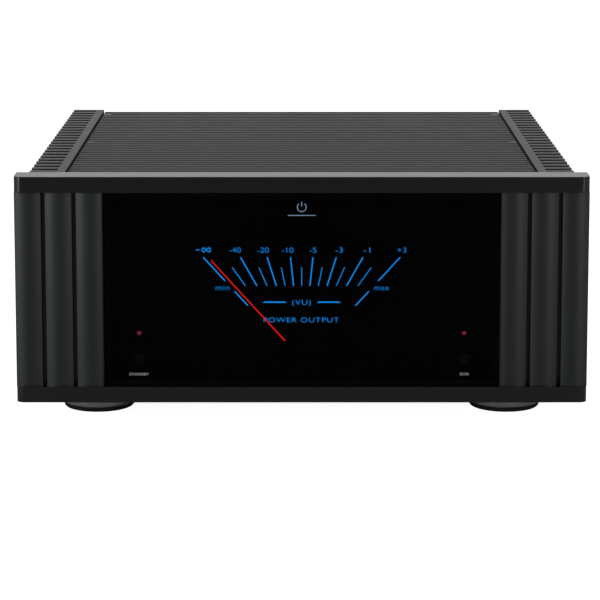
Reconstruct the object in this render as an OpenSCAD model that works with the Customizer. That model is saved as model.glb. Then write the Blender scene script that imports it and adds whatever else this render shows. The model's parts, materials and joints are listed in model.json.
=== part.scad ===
// Stereo amplifier with finned sides, a ribbed lid and a moving-needle output meter.
// Millimetres. +Z is up, the front faces -Y, and +X is to the right as seen from the front.
// The origin lies on the ground, under the middle of the whole box.

/* [Front panel] */
// Width of the front panel
fascia_w = 430; // [424:1:436]
// Height of the front panel
fascia_h = 172; // [170:1:178]
// Thickness of the front panel
fascia_t = 24; // [22:0.5:26]
// Height of the bar above and of the bar below the window
bar_h = 12; // [11:0.5:13]
// Rounding of the bars' front corners, seen from above
bar_corner_r = 6; // [3:0.5:6]
// Width of the glass window
window_w = 298; // [294:1:302]
// Thickness of the glass
glass_t = 4; // [3:0.5:4]
// How far the glass sits behind the front
glass_recess = 2.5; // [2:0.5:3]
// Width of the groove between two columns of a pillar
groove_w = 3.3; // [2.5:0.1:4]
// How far a column falls away at a groove
groove_drop = 2.5; // [2:0.5:4]
// How far a column falls away at a pillar's own edges
edge_drop = 2.5; // [2:0.5:4]

/* [Body] */
// Depth from the back of the front panel to the rear panel's outer face
chassis_d = 381; // [370:1:390]
// How far the terminals stand out behind the rear panel
terminal_reach = 30; // [28:1:34]
// Thickness of the sheet metal
sheet_t = 2; // [1.5:0.5:2]
// Thickness of the rear panel and of the plate behind the front panel
plate_t = 3; // [2:0.5:3]

/* [Heat sinks] */
// Fins on each side
fin_count = 24; // [20:1:26]
// Thickness of a fin
fin_t = 7.6; // [5:0.2:8]
// Length of a fin beyond its base
fin_l = 20.7; // [16:0.1:21]
// Thickness of the heat sink's base
sink_base_t = 6.5; // [5:0.5:7]
// How far the heat sinks' tops lie below the front panel's top
sink_drop = 1; // [0.5:0.5:2]

/* [Lid] */
// Ribs on the lid, both panels together
rib_count = 35; // [31:1:37]
// Ribs on the front panel of the lid
front_rib_count = 18; // [16:1:20]
// Height of a rib
rib_h = 3; // [2:0.5:3]
// How far the lid lies below the heat sinks' tops
lid_drop = 1.2; // [0.6:0.2:2]

/* [Feet] */
// Height of a foot, cup and pad together
foot_h = 15; // [13:0.5:18]
// Diameter of a foot
foot_d = 56; // [50:1:60]
// Height of the rubber pad under a foot
pad_h = 3.5; // [3:0.5:5]

/* [Meter] */
// Height of the needle's pivot above the front panel's underside
pivot_h = 31; // [29:0.5:32]
// Length of the needle, from its pivot to its tip
needle_l = 102; // [95:1:105]
// Angle of the needle at rest, left of upright
needle_rest = 42; // [38:1:45]

/* [Controls] */
// Sideways distance of each button from the middle
button_x = 122.5; // [121:0.5:124]
// Height of the buttons above the front panel's underside
button_h = 33.8; // [32:0.2:36]
// Diameter of a button
button_d = 8.4; // [8:0.1:9]
// Height of the lamps above the front panel's underside
lamp_h = 51.7; // [50:0.1:53]

/* [Terminals] */
// Distance between the two speaker terminals of a pair
post_pitch = 19.05; // [19.05:0.05:22]
// Bore of a speaker terminal, for a 4 mm plug
banana_r = 2.05; // [2.05:0.01:2.1]
// Outer radius of a phono socket's sleeve
phono_r = 4.15; // [4.1:0.01:4.2]
// Bore of a trigger jack, for a 3.5 mm plug
jack_r = 1.8; // [1.78:0.01:1.85]

/* [Hidden] */
$fn = 48;

// Gap that moving pieces keep from their neighbours, the radial play of a pin, and how far a
// cutting shape runs past the face that it cuts
clear = 0.3;
play = 0.05;
cut = 1;

// Main planes
total_d = fascia_t + chassis_d + terminal_reach;
front_y = -total_d / 2;
chassis_y = front_y + fascia_t;
rear_y = chassis_y + chassis_d;
base_z = foot_h;
top_z = base_z + fascia_h;
floor_z = base_z + sheet_t;

// Front panel
window_h = fascia_h - 2 * bar_h;
window_z = base_z + bar_h;
pillar_w = (fascia_w - window_w) / 2;
column_w = (pillar_w - 2 * groove_w) / 3;
column_recess = 1.5;
column_steps = 10;
groove_floor = groove_drop + 6;
glass_gap = 0.15;
glass_back_y = front_y + glass_recess + glass_t;

// Sides and lid
sink_x = fascia_w / 2 - 35.8;
sink_top_z = top_z - sink_drop;
fin_pitch = chassis_d / fin_count;
fin_tip_r = 1.2;
lid_top_z = sink_top_z - lid_drop;
lid_z = lid_top_z - rib_h - sheet_t;
lid_half_w = sink_x - 1.4;
rib_pitch = chassis_d / rib_count;
rib_w = 0.5 * rib_pitch;
seam_y = chassis_y + front_rib_count * rib_pitch;
seam_gap = 0.4;
lid_screw_x = lid_half_w - 3.8;
lid_screw_front_y = seam_y - 18;
lid_screw_rear_y = rear_y - 25;
rail_w = 10;
lid_boss_r = 3.7;
m3_r = 1.5;
m3_head_r = 2.7;
m3_head_h = 2;
m4_r = 2;
sunk_head_r = 3;
sunk_head_h = 1.7;
lid_screw_l = 11.3;

// Feet
foot_x = 157;
foot_front_y = front_y + 56;
foot_rear_y = rear_y - 52;

// Meter
dial_half_w = 108;
dial_low_z = base_z + 14.5;
dial_high_z = base_z + 140;
dial_y = front_y + 14;
dial_t = 1.5;
pivot_z = base_z + pivot_h;
needle_y = front_y + 10.6;
needle_t = 0.5;
shaft_r = 1.5;
shaft_end_y = front_y + 34;
movement_r = 15;
movement_end_y = front_y + 37;
light_box_low_z = base_z + 58;
light_box_half_w = 100;
light_box_wall = 2;

// Buttons and their boards
button_z = base_z + button_h;
lamp_z = base_z + lamp_h;
button_r = button_d / 2;
button_front_y = front_y + glass_recess - 0.6;
button_travel = 1.2;
board_t = 1.6;
button_board_y = front_y + 16;
switch_top_y = front_y + 12.5;

// Inside
transformer_r = 80;
transformer_h = 74;
transformer_hole_r = 22;
transformer_y = chassis_y + 110;
transformer_z = floor_z + 3;
supply_y = chassis_y + 205;
supply_z = floor_z + 12;
supply_w = 190;
supply_d = 92;
capacitor_r = 17.5;
capacitor_h = 78;
amp_board_x = 150;
amp_board_half_d = 140;
amp_board_z = floor_z + 14;
amp_board_h = 112;
transistor_count = 6;
transistor_pitch = 44;
transistor_t = 5;

// Rear terminals: heights and sideways places
input_z = base_z + 123;
xlr_x = 62;
xlr_flange_t = 3;
xlr_body_r = 11.8;
xlr_screw_x = 9.5;
xlr_screw_z = 12;
phono_x = 104;
phono_neck_r = 4;
phono_end_y = rear_y + 13;
barrel_r = 3;
jack_x = 24;
post_z = base_z + 63;
post_pair_x = 110;
post_x = [-post_pair_x - post_pitch / 2, -post_pair_x + post_pitch / 2,
          post_pair_x - post_pitch / 2, post_pair_x + post_pitch / 2];
stud_r = 3;
stud_end_y = rear_y + 22;
post_flange_t = 3;
post_neck_r = 5;
washer_t = 1.2;
washer_y = rear_y + post_flange_t + clear;
cap_y = washer_y + washer_t + clear;
cap_r = 8.4;
cap_flute_count = 12;
cap_flute_depth = 1;
input_board_y = rear_y - 27;
input_board_half_w = 122;
input_board_half_h = 20;
protection_board_y = rear_y - 30;

// Mains inlet with its fuse drawer and rocker switch in one housing
inlet_z = base_z + 27;
inlet_half_w = 39;
inlet_half_h = 15;
inlet_flange_t = 2.5;
inlet_face_y = rear_y + inlet_flange_t;
inlet_body_d = 34;
socket_half_w = 12.2;
socket_half_h = 8.2;
socket_d = 17;
drawer_x = 26.5;
drawer_half_w = 8;
drawer_half_h = 6;
drawer_d = 24;
rocker_x = -26.5;
rocker_half_w = 7.5;
rocker_half_h = 8.6;
rocker_pit_d = 13;
rocker_tilt = 10;
rocker_pivot_y = inlet_face_y - 2.6;
rocker_pin_r = 1.5;

// Toggle switch
toggle_pivot_y = rear_y + 6;
toggle_ball_r = 2.1;
toggle_tilt = 12;
toggle_barrel_y = rear_y + 8.5;
toggle_pin_r = 0.6;
toggle_pin_half_l = 2.6;

// Box between two corners
module block(low, high) translate(low) cube(high - low);

// Rod along +Y, from y0 to y1
module rod_y(x, z, y0, y1, r) translate([x, y0, z]) rotate([-90, 0, 0]) cylinder(r = r, h = y1 - y0);

// Rod along +X, from x0 to x1
module rod_x(x0, x1, y, z, r) translate([x0, y, z]) rotate([0, 90, 0]) cylinder(r = r, h = x1 - x0);

// Rod along +Z, from z0 to z1
module rod_z(x, y, z0, z1, r) translate([x, y, z0]) cylinder(r = r, h = z1 - z0);

// Rectangle with round corners, centred
module round_rectangle(half_w, half_h, r) {
    square([2 * half_w, 2 * (half_h - r)], center = true);
    square([2 * (half_w - r), 2 * half_h], center = true);
    for (sx = [-1, 1], sy = [-1, 1]) translate([sx * (half_w - r), sy * (half_h - r)]) circle(r = r);
}

// Upright plate across the body, from y0 to y1, with round corners and a given middle
module upright_plate(x, z, half_w, half_h, r, y0, y1)
    translate([x, y1, z]) rotate([90, 0, 0]) linear_extrude(y1 - y0) round_rectangle(half_w, half_h, r);

// ---- Front panel ----

// Screws that hold the front panel, driven from behind: [x, z] of each
bar_screw_x = [-140, -60, 60, 140];
top_screw_drop = 3;
pillar_screw_x = 164;
pillar_screw_z = [base_z + 45, base_z + 125];
front_screws = [
    for (x = bar_screw_x) [x, base_z + bar_h / 2],
    for (x = bar_screw_x) [x, lid_z - top_screw_drop],
    for (x = [-pillar_screw_x, pillar_screw_x], z = pillar_screw_z) [x, z]
];
front_screw_tip_y = front_y + 14;

module front_screw_holes(y0, y1) for (p = front_screws) rod_y(p[0], p[1], y0, y1, m3_r);

module bar_outline() {
    r = bar_corner_r;
    translate([-fascia_w / 2, front_y + r]) square([fascia_w, fascia_t - r]);
    translate([-fascia_w / 2 + r, front_y]) square([fascia_w - 2 * r, fascia_t]);
    for (side = [-1, 1]) translate([side * (fascia_w / 2 - r), front_y + r]) circle(r = r);
}

module fascia_bar(z) difference() {
    translate([0, 0, z]) linear_extrude(bar_h) bar_outline();
    front_screw_holes(front_screw_tip_y, chassis_y + cut);
}

module fascia_top_bar() color("#1d1f1f") fascia_bar(top_z - bar_h);

module fascia_bottom_bar() color("#1a1c1c") fascia_bar(base_z);

// One convex column seen from above: a parabola whose flanks fall away by their own amounts
module column_outline(left_drop, right_drop) {
    half = column_w / 2;
    depth = fascia_t - column_recess;
    front = [
        for (i = [-column_steps:column_steps])
            let (t = i / column_steps) [t * half, t * t * (i < 0 ? left_drop : right_drop)]
    ];
    polygon(concat(front, [[half, depth], [-half, depth]]));
}

module pillar_outline() {
    translate([window_w / 2, front_y + groove_floor]) square([pillar_w, fascia_t - groove_floor]);
    for (i = [0:2])
        translate([window_w / 2 + column_w / 2 + i * (column_w + groove_w), front_y + column_recess])
            column_outline(i == 0 ? edge_drop : groove_drop, i == 2 ? edge_drop : groove_drop);
}

module pillar() difference() {
    translate([0, 0, window_z]) linear_extrude(window_h) pillar_outline();
    front_screw_holes(front_screw_tip_y, chassis_y + cut);
}

module right_pillar() color("#2c2f2f") pillar();

module left_pillar() color("#2c2f2f") mirror([1, 0, 0]) pillar();

module front_window() color("#050506") difference() {
    block([-window_w / 2 + glass_gap, front_y + glass_recess, window_z + glass_gap],
          [window_w / 2 - glass_gap, glass_back_y, window_z + window_h - glass_gap]);
    for (side = [-1, 1])
        rod_y(side * button_x, button_z, front_y, glass_back_y + cut, button_r + clear);
}

module window_gasket() color("#101010") difference() {
    gasket_w = 4;
    gasket_t = 1.5;
    block([-window_w / 2 + glass_gap, glass_back_y, window_z + glass_gap],
          [window_w / 2 - glass_gap, glass_back_y + gasket_t, window_z + window_h - glass_gap]);
    block([-window_w / 2 + gasket_w, glass_back_y - cut, window_z + gasket_w],
          [window_w / 2 - gasket_w, glass_back_y + gasket_t + cut, window_z + window_h - gasket_w]);
}

module front_subpanel() color("#3a3c3e") difference() {
    block([-sink_x + clear, chassis_y, floor_z], [sink_x - clear, chassis_y + plate_t, lid_z]);
    front_screw_holes(chassis_y - cut, chassis_y + plate_t + cut);
    rod_y(0, pivot_z, chassis_y - cut, chassis_y + plate_t + 1, movement_r + 1);
}

// ---- Output meter ----

module meter_dial() color("#08080a") difference() {
    block([-dial_half_w, dial_y, dial_low_z], [dial_half_w, dial_y + dial_t, dial_high_z]);
    rod_y(0, pivot_z, dial_y - cut, dial_y + dial_t + cut, shaft_r + 1);
}

module meter_light_box() color("#d8dadc") difference() {
    block([-light_box_half_w, dial_y + dial_t, light_box_low_z], [light_box_half_w, chassis_y, dial_high_z]);
    block([-light_box_half_w + light_box_wall, dial_y, light_box_low_z + light_box_wall],
          [light_box_half_w - light_box_wall, chassis_y - light_box_wall, dial_high_z - light_box_wall]);
}

module meter_movement() color("#6d7074") difference() {
    union() {
        rod_y(0, pivot_z, dial_y + dial_t, dial_y + dial_t + 2, movement_r + 2.5);
        rod_y(0, pivot_z, dial_y + dial_t, movement_end_y, movement_r);
    }
    rod_y(0, pivot_z, dial_y, shaft_end_y + clear, shaft_r + play);
}

// Pointer with its hub, its balance tail and the shaft that turns in the movement
module meter_needle() color("#e0161c") translate([0, 0, pivot_z]) rotate([0, -needle_rest, 0]) {
    root_half_w = 0.5;
    tip_half_w = 0.4;
    tail_l = 10;
    tail_half_w = 1.6;
    hub_r = 5;
    translate([0, needle_y + needle_t, 0]) rotate([90, 0, 0]) linear_extrude(needle_t) {
        polygon([[-root_half_w, 0], [root_half_w, 0], [tip_half_w, needle_l], [-tip_half_w, needle_l]]);
        translate([-tail_half_w, -tail_l]) square([2 * tail_half_w, tail_l]);
    }
    rod_y(0, 0, needle_y - 0.3, needle_y + 1.2, hub_r);
    rod_y(0, 0, needle_y, shaft_end_y, shaft_r);
}

// Round shade in front of the needle's root, cut flat below, on three posts
module pivot_cover() color("#08080a") {
    cover_r = 19;
    cover_y = front_y + 8.2;
    cover_t = 1.5;
    post_r = 1.5;
    post_places = [[0, -15], [-16, -2], [16, -2]];
    difference() {
        rod_y(0, pivot_z, cover_y, cover_y + cover_t, cover_r);
        block([-cover_r, cover_y - cut, pivot_z - cover_r - cut],
              [cover_r, cover_y + cover_t + cut, window_z + 2 * clear]);
    }
    for (p = post_places) rod_y(p[0], pivot_z + p[1], cover_y, dial_y, post_r);
}

// ---- Buttons, lamps and their boards ----

module push_button(side) {
    flange_y = glass_back_y + clear;
    rod_y(side * button_x, button_z, button_front_y, flange_y + 1.5, button_r);
    rod_y(side * button_x, button_z, flange_y, flange_y + 1.5, button_r + 1.3);
    rod_y(side * button_x, button_z, flange_y, switch_top_y - button_travel - clear, m3_r);
}

module standby_button() color("#141414") push_button(-1);

module dim_button() color("#141414") push_button(1);

module status_lamps() color("#c0266a") for (side = [-1, 1]) {
    lamp_r = 1.5;
    lamp_tip_y = glass_back_y + clear;
    lead_gap = 1.27;
    translate([side * button_x, lamp_tip_y + lamp_r, lamp_z]) sphere(r = lamp_r);
    rod_y(side * button_x, lamp_z, lamp_tip_y + lamp_r, lamp_tip_y + 5, lamp_r);
    rod_y(side * button_x, lamp_z, lamp_tip_y + 4, lamp_tip_y + 5, lamp_r + 0.4);
    for (lead = [-1, 1])
        rod_y(side * button_x + lead * lead_gap / 2, lamp_z, lamp_tip_y + 4.5, button_board_y, 0.3);
}

module button_boards() color("#1f5a38") for (side = [-1, 1]) {
    half_w = 11;
    low_z = base_z + 20;
    high_z = base_z + 60;
    post_r = 3;
    block([side * button_x - half_w, button_board_y, low_z],
          [side * button_x + half_w, button_board_y + board_t, high_z]);
    block([side * button_x - 3, switch_top_y + 0.5, button_z - 3],
          [side * button_x + 3, button_board_y, button_z + 3]);
    rod_y(side * button_x, button_z, switch_top_y, switch_top_y + 0.5, 1.6);
    for (z = [low_z + 5, high_z - 5])
        rod_y(side * button_x + 6, z, button_board_y + board_t, chassis_y, post_r);
}

// ---- Lid, rails and sides ----

module lid_panel(y0, y1, first_rib, last_rib, screw_y) difference() {
    union() {
        block([-lid_half_w, y0, lid_z], [lid_half_w, y1, lid_z + sheet_t]);
        for (i = [first_rib:last_rib]) {
            rib_y = max(y0, chassis_y + i * rib_pitch);
            block([-lid_half_w, rib_y, lid_z], [lid_half_w, chassis_y + i * rib_pitch + rib_w, lid_top_z]);
        }
        for (side = [-1, 1]) rod_z(side * lid_screw_x, screw_y, lid_z, lid_top_z, lid_boss_r);
    }
    for (side = [-1, 1]) translate([side * lid_screw_x, screw_y, 0]) {
        translate([0, 0, lid_z - cut]) cylinder(r = m3_r + play, h = lid_top_z - lid_z + 2 * cut);
        translate([0, 0, lid_top_z - sunk_head_h])
            cylinder(r1 = m3_r + play, r2 = sunk_head_r + 3 * play, h = sunk_head_h);
    }
}

module lid_front_panel() color("#3a3a3a")
    lid_panel(chassis_y, seam_y - seam_gap, 0, front_rib_count - 1, lid_screw_front_y);

module lid_rear_panel() color("#3a3a3a")
    lid_panel(seam_y, rear_y, front_rib_count, rib_count - 1, lid_screw_rear_y);

// Countersunk screws of the lid
module lid_screws() color("#202020")
    for (side = [-1, 1], y = [lid_screw_front_y, lid_screw_rear_y])
        translate([side * lid_screw_x, y, lid_top_z - sunk_head_h]) difference() {
            union() {
                cylinder(r1 = m3_r, r2 = sunk_head_r, h = sunk_head_h - 0.1);
                translate([0, 0, -lid_screw_l]) cylinder(r = m3_r, h = lid_screw_l);
            }
            translate([0, 0, sunk_head_h - 1.3]) cylinder(r = 1.1, h = 2, $fn = 6);
        }

rear_rail_z = lid_z - rail_w / 2;

module side_rails() color("#4a4c4e") for (side = [-1, 1]) difference() {
    inner = sink_x - rail_w;
    block([side > 0 ? inner : -sink_x, chassis_y + plate_t, lid_z - rail_w],
          [side > 0 ? sink_x : -inner, rear_y - plate_t, lid_z]);
    for (y = [lid_screw_front_y, lid_screw_rear_y])
        rod_z(side * lid_screw_x, y, lid_z - 8, lid_z + cut, m3_r + play);
    rod_y(side * lid_screw_x, rear_rail_z, rear_y - 16, rear_y, m3_r + play);
}

module lid_cross_rail() color("#4a4c4e") difference() {
    half_w = sink_x - rail_w;
    block([-half_w, seam_y - 9, lid_z - rail_w], [half_w, seam_y + 9, lid_z]);
    block([-half_w - cut, seam_y - 7, lid_z - rail_w - cut], [half_w + cut, seam_y + 7, lid_z - 2]);
}

module fin_outline() {
    r = fin_tip_r;
    square([fin_l - r, fin_t]);
    translate([0, r]) square([fin_l, fin_t - 2 * r]);
    for (y = [r, fin_t - r]) translate([fin_l - r, y]) circle(r = r, $fn = 24);
}

// Screws up through the bottom plate into the heat sinks
sink_screw_y = [for (t = [0.02, 0.5, 0.98]) chassis_y + t * chassis_d];
sink_screw_x = sink_x + sink_base_t / 2;
sink_screw_l = 12;

module heatsink() difference() {
    translate([0, 0, floor_z]) linear_extrude(sink_top_z - floor_z) {
        translate([sink_x, chassis_y]) square([sink_base_t, chassis_d]);
        for (i = [1:fin_count])
            translate([sink_x + sink_base_t, chassis_y + i * fin_pitch - fin_t]) fin_outline();
    }
    for (y = sink_screw_y) rod_z(sink_screw_x, y, floor_z - cut, base_z + sink_screw_l, m3_r);
}

module right_heatsink() color("#343536") heatsink();

module left_heatsink() color("#343536") mirror([1, 0, 0]) heatsink();

// ---- Bottom, rear panel and screws ----

slot_r = 2;
slot_half_l = 22;
slot_pitch = 9;
slots_per_group = 9;
rear_lip_h = 11;
lip_screw_x = 150;
lip_screw_z = floor_z + 5.5;

module vent_slot(x, y) for (end = [-1, 1]) {
    rod_z(x + end * slot_half_l, y, base_z - cut, floor_z + cut, slot_r);
    block([x - slot_half_l, y - slot_r, base_z - 1], [x + slot_half_l, y + slot_r, floor_z + 1]);
}

module bottom_plate() color("#303234") difference() {
    union() {
        block([-sink_x - sink_base_t, chassis_y, base_z], [sink_x + sink_base_t, rear_y - plate_t, floor_z]);
        block([-sink_x + clear, rear_y - plate_t - sheet_t, base_z],
              [sink_x - clear, rear_y - plate_t, floor_z + rear_lip_h]);
    }
    for (side = [-1, 1], i = [0:slots_per_group - 1])
        vent_slot(side * 115, supply_y - 20 + i * slot_pitch);
    for (side = [-1, 1], y = sink_screw_y)
        rod_z(side * sink_screw_x, y, base_z - cut, floor_z + cut, m3_r);
    at_feet() rod_z(0, 0, base_z - cut, floor_z + cut, m4_r);
    for (side = [-1, 1]) rod_y(side * lip_screw_x, lip_screw_z, rear_y - 10, rear_y, m3_r);
    rod_z(0, transformer_y, base_z - cut, floor_z + cut, 4);
}

module rear_panel() color("#1b1c1d") difference() {
    block([-sink_x + clear, rear_y - plate_t, base_z], [sink_x - clear, rear_y, lid_z]);
    upright_plate(0, inlet_z, inlet_half_w - 2, inlet_half_h - 2, 1, rear_y - plate_t - cut, rear_y + cut);
    for (side = [-1, 1]) {
        rod_y(side * xlr_x, input_z, rear_y - plate_t - cut, rear_y + cut, xlr_body_r);
        rod_y(side * phono_x, input_z, rear_y - plate_t - cut, rear_y + cut, phono_neck_r);
        rod_y(side * jack_x, input_z, rear_y - plate_t - cut, rear_y + cut, barrel_r);
        rod_y(side * lid_screw_x, rear_rail_z, rear_y - plate_t - cut, rear_y + cut, m3_r);
        rod_y(side * lip_screw_x, lip_screw_z, rear_y - plate_t - cut, rear_y + cut, m3_r);
        for (end = [-1, 1])
            rod_y(side * xlr_x + end * xlr_screw_x, input_z + end * xlr_screw_z, rear_y - plate_t - cut,
                  rear_y + cut, m3_r);
    }
    rod_y(0, input_z, rear_y - plate_t - cut, rear_y + cut, barrel_r);
    for (x = post_x) rod_y(x, post_z, rear_y - plate_t - cut, rear_y + cut, post_neck_r);
}

// Pan-head screw whose head's seat is at the origin and whose shank runs along -Z
module pan_screw(shank_l) difference() {
    union() {
        cylinder(r = m3_head_r, h = m3_head_h);
        translate([0, 0, -shank_l]) cylinder(r = m3_r, h = shank_l);
    }
    translate([0, 0, m3_head_h - 1.2]) cylinder(r = 1.2, h = 2, $fn = 6);
}

module chassis_screws() color("#242526") {
    for (p = front_screws)
        translate([p[0], chassis_y + plate_t, p[1]]) rotate([-90, 0, 0])
            pan_screw(chassis_y + plate_t - front_screw_tip_y);
    for (side = [-1, 1], y = sink_screw_y)
        translate([side * sink_screw_x, y, base_z]) rotate([180, 0, 0]) pan_screw(sink_screw_l);
    for (side = [-1, 1]) {
        translate([side * lid_screw_x, rear_y, rear_rail_z]) rotate([-90, 0, 0]) pan_screw(16);
        translate([side * lip_screw_x, rear_y, lip_screw_z]) rotate([-90, 0, 0]) pan_screw(8);
        for (end = [-1, 1])
            translate([side * xlr_x + end * xlr_screw_x, rear_y + xlr_flange_t, input_z + end * xlr_screw_z])
                rotate([-90, 0, 0]) pan_screw(8);
    }
}

// ---- Feet ----

module at_feet()
    for (side = [-1, 1], y = [foot_front_y, foot_rear_y]) translate([side * foot_x, y, 0]) children();

module foot_cups() color("#4c4e50") at_feet() rotate_extrude() {
    r = foot_d / 2;
    edge = 1;
    polygon([[m4_r, pad_h + 4], [9, pad_h + 4], [9, pad_h], [r - edge, pad_h], [r, pad_h + edge],
             [r, base_z - edge], [r - edge, base_z], [m4_r, base_z]]);
}

module foot_pads() color("#0a0a0a") at_feet() rotate_extrude() {
    r = foot_d / 2 - 1;
    edge = 1;
    polygon([[0, 0], [r - edge, 0], [r, edge], [r, pad_h], [0, pad_h]]);
}

module foot_screws() color("#8a8c8e") at_feet() {
    rod_z(0, 0, pad_h + 1.5, pad_h + 4, 4);
    rod_z(0, 0, pad_h + 4, floor_z + 3, m4_r);
    translate([0, 0, floor_z]) cylinder(r = 4, h = 3, $fn = 6);
}

// ---- Power supply ----

module toroidal_transformer() color("#c8a23c") translate([0, transformer_y, transformer_z])
    rotate_extrude($fn = 96) translate([(transformer_r + transformer_hole_r) / 2, transformer_h / 2])
        round_rectangle((transformer_r - transformer_hole_r) / 2, transformer_h / 2, 16);

module transformer_pad() color("#151515") difference() {
    rod_z(0, transformer_y, floor_z, transformer_z, transformer_r - 4);
    rod_z(0, transformer_y, floor_z - cut, transformer_z + 1, 4.5);
}

module transformer_clamp() color("#9a9c9e") translate([0, transformer_y, transformer_z + transformer_h])
    difference() {
        cylinder(r1 = 46, r2 = 40, h = 3);
        translate([0, 0, -1]) cylinder(r = 4, h = 5);
    }

module transformer_bolt() color("#b8babc") translate([0, transformer_y, 0]) {
    clamp_top_z = transformer_z + transformer_h + 3;
    translate([0, 0, base_z - 5]) cylinder(r = 7, h = 5, $fn = 6);
    rod_z(0, 0, base_z, clamp_top_z + 10, 4);
    translate([0, 0, clamp_top_z]) cylinder(r = 7, h = 6.5, $fn = 6);
}

module power_supply_board() color("#1f5a38") {
    block([-supply_w / 2, supply_y, supply_z], [supply_w / 2, supply_y + supply_d, supply_z + board_t]);
    for (side = [-1, 1], y = [supply_y + 6, supply_y + supply_d - 6])
        rod_z(side * (supply_w / 2 - 6), y, floor_z, supply_z, 3);
}

module filter_capacitors() color("#26324a") {
    edge = 1.5;
    for (i = [0:3], row = [0, 1]) translate([(i - 1.5) * 43, supply_y + 24 + row * 43, supply_z + board_t])
        rotate_extrude() polygon([[0, 0], [capacitor_r, 0], [capacitor_r, capacitor_h - edge],
                                  [capacitor_r - edge, capacitor_h], [0, capacitor_h]]);
}

module bridge_rectifier() {
    half = 14.3;
    tab = 8;
    block([-half, -half, 0], [half, half, 10]);
    for (sx = [-1, 1], sy = [-1, 1])
        translate([sx * tab, sy * tab, 0]) block([-0.4, -3.2, 9], [0.4, 3.2, 21]);
}

module bridge_rectifiers() color("#2a2a2c")
    for (side = [-1, 1]) translate([side * 115, chassis_y + 45, floor_z]) bridge_rectifier();

// ---- Amplifier boards along the heat sinks ----

module amplifier_board(side) {
    mid_y = chassis_y + chassis_d / 2;
    low_x = side > 0 ? amp_board_x : -amp_board_x - board_t;
    block([low_x, mid_y - amp_board_half_d, amp_board_z],
          [low_x + board_t, mid_y + amp_board_half_d, amp_board_z + amp_board_h]);
    for (end = [-1, 1], z = [amp_board_z + 6, amp_board_z + amp_board_h - 6])
        rod_x(side > 0 ? amp_board_x + board_t : -sink_x, side > 0 ? sink_x : -amp_board_x - board_t,
              mid_y + end * (amp_board_half_d - 6), z, 3);
}

module left_amplifier_board() color("#1f5a38") amplifier_board(-1);

module right_amplifier_board() color("#1f5a38") amplifier_board(1);

module output_transistors() color("#1a1a1c") {
    mid_y = chassis_y + chassis_d / 2;
    leg_pitch = 5.45;
    for (mirrored = [0, 1]) mirror([mirrored, 0, 0])
        for (i = [0:transistor_count - 1])
            translate([0, mid_y + (i - (transistor_count - 1) / 2) * transistor_pitch, amp_board_z + 50]) {
                block([sink_x - transistor_t, -10, -13], [sink_x, 10, 13]);
                for (leg = [-1:1]) block([amp_board_x + board_t, leg * leg_pitch - 0.5, -12],
                                         [sink_x - transistor_t, leg * leg_pitch + 0.5, -11]);
            }
}

// ---- Rear boards ----

module input_board() color("#1f5a38")
    block([-input_board_half_w, input_board_y, input_z - input_board_half_h],
          [input_board_half_w, input_board_y + board_t, input_z + input_board_half_h]);

module protection_board() color("#1f5a38") {
    block([-140, protection_board_y, post_z - 15], [140, protection_board_y + board_t, post_z + 22]);
    for (side = [-1, 1]) block([side * 60 - 13, protection_board_y - 18, post_z - 8],
                               [side * 60 + 13, protection_board_y, post_z + 8]);
}

// ---- Mains inlet, fuse drawer and rocker switch ----

// Blades of the inlet: [x, z] from the inlet's middle, then half width and half height
inlet_blades = [[0, 4, 1, 2], [-7, -2, 1, 2], [7, -2, 1, 2]];
blade_l = 11.5;

module mains_inlet() color("#121213") {
    difference() {
        union() {
            upright_plate(0, inlet_z, inlet_half_w, inlet_half_h, 2, rear_y, inlet_face_y);
            upright_plate(0, inlet_z, inlet_half_w - 2, inlet_half_h - 2, 1, rear_y - inlet_body_d, rear_y);
        }
        upright_plate(0, inlet_z, socket_half_w, socket_half_h, 2, inlet_face_y - socket_d,
                      inlet_face_y + cut);
        block([drawer_x - drawer_half_w, inlet_face_y - drawer_d, inlet_z - drawer_half_h],
              [drawer_x + drawer_half_w, inlet_face_y + cut, inlet_z + drawer_half_h]);
        block([rocker_x - rocker_half_w, inlet_face_y - rocker_pit_d, inlet_z - rocker_half_h - 1],
              [rocker_x + rocker_half_w, inlet_face_y + cut, inlet_z + rocker_half_h + 1]);
        rod_x(rocker_x - rocker_half_w - 1.5, rocker_x + rocker_half_w + 1.5, rocker_pivot_y, inlet_z,
              rocker_pin_r + play);
    }
    for (b = inlet_blades)
        block([b[0] - b[2], inlet_face_y - socket_d - 0.5, inlet_z + b[1] - b[3]],
              [b[0] + b[2], inlet_face_y - socket_d + blade_l, inlet_z + b[1] + b[3]]);
}

// Drawer with a trough for one 5 x 20 mm fuse and a lip to pull it by
module fuse_drawer() color("#161617") difference() {
    half_w = drawer_half_w - clear;
    half_h = drawer_half_h - clear;
    union() {
        block([drawer_x - half_w, inlet_face_y - drawer_d + clear, inlet_z - half_h],
              [drawer_x + half_w, inlet_face_y + clear, inlet_z + half_h]);
        block([drawer_x - half_w - cut, inlet_face_y + clear, inlet_z - half_h - 1],
              [drawer_x + half_w + 1, inlet_face_y + 2.2, inlet_z + half_h + 1]);
    }
    rod_x(drawer_x - half_w - 2, drawer_x + half_w + 2, inlet_face_y + 2.6, inlet_z, 1);
    rod_y(drawer_x, inlet_z + half_h, inlet_face_y - 22, inlet_face_y - 1.5, 2.65);
}

// Rocker with a shallow V face, drawn switched on, with its upper end pressed in
module power_rocker() color("#101011") translate([rocker_x, rocker_pivot_y, inlet_z]) {
    half_w = rocker_half_w - clear;
    half_h = rocker_half_h - 0.9;
    rotate([rocker_tilt, 0, 0]) translate([-half_w, 0, 0]) rotate([90, 0, 90]) linear_extrude(2 * half_w)
        polygon([[2.6, 0], [4, half_h], [-3, half_h], [-8, 3], [-8, -3], [-3, -half_h], [4, -half_h]]);
    rod_x(-rocker_half_w - 1.3, rocker_half_w + 1.3, 0, 0, rocker_pin_r);
}

// ---- Signal sockets ----

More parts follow.
